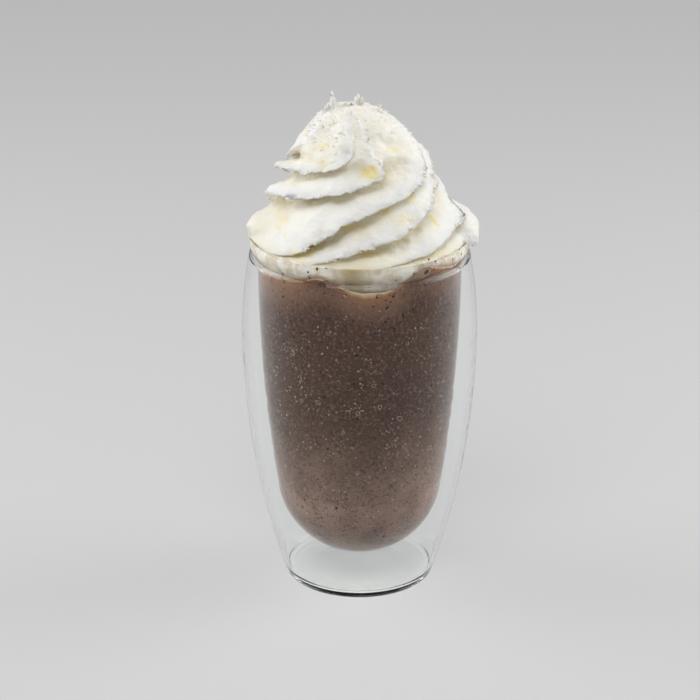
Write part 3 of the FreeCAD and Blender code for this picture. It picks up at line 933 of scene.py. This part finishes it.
def blended_drink():
    """Blended coffee, chocolate and ice: brown, paler and pinker towards the bowl (partly painted light),
    foamy under the cream.

    Depths are in millimetres under the bed's edge.
    """
    drink = Finish("blended_mocha")
    brown, bowl_brown_and_painted_light, top_brown = shade(83, 56, 42), shade(180, 148, 132), shade(170, 132, 108)
    dark_cloud, icy, cocoa = shade(78, 54, 43), shade(150, 122, 106), shade(52, 34, 26)
    rust_brown, foam_beige = shade(166, 118, 84), shade(214, 194, 162)
    depth = drink.attribute("under_bed")
    foam_reach = drink.attribute("foam_reach")
    cloud = drink.clouds(9.0, 4.0)
    grain = drink.clouds(1.1, 3.0)
    # paler and pinker towards the bowl: partly the drink's own colour, partly painted light that stands for
    # light reaching the bowl from below
    body = drink.mix(drink.between(depth, 50.0, 118.0), brown, bowl_brown_and_painted_light)
    body = drink.mix(drink.between(cloud, 0.40, 0.66, 0.0, 0.4), body, dark_cloud)
    body = drink.mix(drink.between(grain, 0.52, 0.70, 0.0, 0.45), body, icy)
    body = drink.mix(drink.between(grain, 0.48, 0.32, 0.0, 0.6), body, cocoa)
    body = drink.mix(drink.between(depth, 17.0, 2.0, 0.0, 0.5), body, top_brown)
    ragged = depth + 2.4 * (drink.clouds(4.0, 4.0) - 0.5) + 1.2 * (drink.clouds(1.2, 2.0) - 0.5)
    rust = drink.between(ragged - foam_reach, 4.0, 0.4, 0.0, 0.8)
    foam = drink.between(ragged - foam_reach, 1.2, -1.0, 0.0, 0.9)
    body = drink.mix(rust, body, rust_brown)
    body = drink.mix(foam, body, foam_beige)
    return drink.finish(drink.surface(
        Base_Color=body, Roughness=0.5, Specular_IOR_Level=0.1, Normal=drink.bump(grain, 0.06, 0.4),
    ))


def toned(name, stops, roughness):
    """A finish whose colour runs along stops by each small thing's own tone, with a little unevenness."""
    small = Finish(name)
    tone = small.attribute("tone")
    colour = small.add("ShaderNodeValToRGB", {"stops": stops}, {"Fac": tone})
    dark_share = small.between(small.clouds(0.4, 2.0), 0.35, 0.65, 0.0, 0.3)
    mottled = small.mix(dark_share, colour, shade(50, 34, 26))
    return small.finish(small.surface(Base_Color=mottled, Roughness=roughness, Specular_IOR_Level=0.1))


def whipped_cream(name, glow):
    """Whipped cream, lit from within by as much as glow, with painted shade on slopes and in recesses, a
    painted yellow glow in hollows, and beige against the wall.
    """
    cream = Finish(name)
    crest_white, slope_painted_shade = shade(248, 246, 240), shade(243, 238, 222)
    recess_painted_shade, painted_glow_yellow = shade(234, 222, 182), shade(246, 224, 128)
    plug_beige, plug_white = shade(222, 212, 192), shade(244, 240, 230)
    foam_beige, edge_brown = shade(190, 172, 136), shade(188, 164, 136)
    crest = cream.attribute("crest")
    above = cream.attribute("above_bed")
    fluff = cream.clouds(1.3, 5.0)
    foam = cream.clouds(0.5, 2.0)
    in_open = cream.between(above, OPEN_FROM - 3, OPEN_FROM)
    yellow = cream.attribute("yellow") * cream.between(cream.clouds(3.0, 3.0), 0.3, 0.6, 0.7, 1.1)
    # painted shade: the cream is drawn darker and warmer on the slopes and darkest in the recesses, away
    # from the crests, where shade falls
    body = cream.mix(cream.between(crest, 0.75, 0.15), crest_white, slope_painted_shade)
    patches = cream.between(cream.clouds(7.0, 3.0), 0.35, 0.65, 0.25, 1.0)
    body = cream.mix(cream.between(crest, 0.2, 0.0) * patches, body, recess_painted_shade)
    # painted light: a yellow glow painted into the hollows where the yellow attribute says, patchy by
    # clouds
    body = cream.mix(yellow, body, painted_glow_yellow)
    pressed = cream.mix(cream.between(cream.clouds(5.0, 3.0), 0.4, 0.6), plug_beige, plug_white)
    pressed = cream.mix(cream.attribute("yellow"), pressed, foam_beige)
    body = cream.mix(in_open, pressed, body)
    ragged = above + 2.4 * (cream.clouds(4.0, 4.0) - 0.5)
    body = cream.mix(cream.between(ragged, 2.2, 0.2, 0.0, 0.85), body, edge_brown)
    relief = fluff + 0.5 * foam
    return cream.finish(cream.surface(
        Base_Color=body, Roughness=0.65, Normal=cream.bump(relief, 0.5, 0.7),
        Subsurface_Weight=glow, Subsurface_Radius=(1.0, 0.9, 0.66), Subsurface_Scale=3.5 * MM,
    ))


# ---------------------------------------------------------------- stage

FLOOR_DROP = 0.1         # the floor lies this far under the foot, so that their faces don't coincide
SEEN_RAYS = ("Is Camera Ray", "Is Glossy Ray", "Is Transmission Ray")


def pale_floor():
    """A plain pale floor under the glass; what is seen of it is half lit and half its own even paleness."""
    floor = Finish("pale_floor")
    lit = floor.surface(Base_Color=shade(212, 212, 210), Roughness=0.6)
    even = floor.add("ShaderNodeEmission", {}, {"Color": shade(216, 217, 218), "Strength": 1.0})
    seen, *others = [floor.add("ShaderNodeLightPath", out=ray) for ray in SEEN_RAYS]
    for other in others:
        seen = seen.maths("MAXIMUM", other)
    floor.finish(floor.add("ShaderNodeMixShader", {}, {0: seen * 0.5, 1: lit, 2: even}))
    shape = bmesh.new()
    bmesh.ops.create_grid(shape, x_segments=1, y_segments=1, size=4.0)
    mesh = bpy.data.meshes.new("floor")
    shape.to_mesh(mesh)
    shape.free()
    mesh.materials.append(floor.material)
    plane = bpy.data.objects.new("floor", mesh)
    plane.location.z = -FLOOR_DROP * MM
    bpy.context.scene.collection.objects.link(plane)


def soft_box(name, place, aim, width, height, power):
    """A large soft lamp that looks at a spot."""
    lamp = bpy.data.lights.new(name, "AREA")
    lamp.shape = "RECTANGLE"
    lamp.size = width
    lamp.size_y = height
    lamp.energy = power
    holder = bpy.data.objects.new(name, lamp)
    holder.location = place
    holder.rotation_euler = (Vector(aim) - Vector(place)).to_track_quat("-Z", "Y").to_euler()
    bpy.context.scene.collection.objects.link(holder)


def studio():
    """Two tall soft boxes at the sides, a soft one above the front and a pale surround."""
    middle = (0, 0, RIM * MM * 0.75)
    soft_box("left_box", (-0.75, 0.16, 0.42), middle, 0.5, 0.8, 3.7)
    soft_box("right_box", (0.75, 0.16, 0.42), middle, 0.5, 0.8, 4.5)
    soft_box("top_box", (-0.12, -0.55, 0.98), middle, 0.7, 0.5, 5.2)
    world = bpy.data.worlds.new("surround")
    bpy.context.scene.world = world
    world.use_nodes = True
    background = world.node_tree.nodes["Background"]
    background.inputs["Color"].default_value = (1.0, 0.985, 0.96, 1.0)
    background.inputs["Strength"].default_value = 0.22


def camera():
    """A long lens that looks down on the glass from the front."""
    pitch, yaw = 0.389, 0.004
    view = bpy.data.cameras.new("camera")
    view.lens = 132.9
    view.sensor_width = 36.0
    view.clip_start = 0.05
    holder = bpy.data.objects.new("camera", view)
    holder.location = (0.0, -0.942, 0.481)
    holder.rotation_euler = (math.pi / 2 - pitch, 0.0, yaw)
    bpy.context.scene.collection.objects.link(holder)
    bpy.context.scene.camera = holder


# ---------------------------------------------------------------- the whole

def main():
    noise.seed_set(NOISE_SEED)
    camera()
    studio()
    pale_floor()
    bpy.context.scene.view_settings.view_transform = "Standard"
    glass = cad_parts["glass"]
    glass.data.materials[0] = clear_glass()
    drink = new_piece("drink", make_drink, blended_drink(), "mocha")
    cream = new_piece("piped_cream", make_cream, whipped_cream("whipped_cream", 0.8), "cream")
    dark = [(0.0, shade(30, 18, 13)), (0.5, shade(74, 38, 24)), (1.0, shade(134, 74, 42))]
    pale = [(0.0, shade(150, 128, 116)), (1.0, shade(222, 210, 201))]
    foam = [(0.0, shade(176, 158, 136)), (0.7, shade(150, 104, 74)), (1.0, shade(104, 66, 44))]
    specks().piece("cocoa_specks", toned("cocoa_specks", dark, 0.6))
    crystals().piece("ice_crystals", toned("ice_crystals", pale, 0.3))
    foam_bubbles().piece("foam_bubbles", toned("foam_bubbles", foam, 0.35))
    torn = whipped_cream("torn_cream", 0.0)
    crumbs().piece("cream_crumbs", torn, ("crest", "above_bed"))


main()
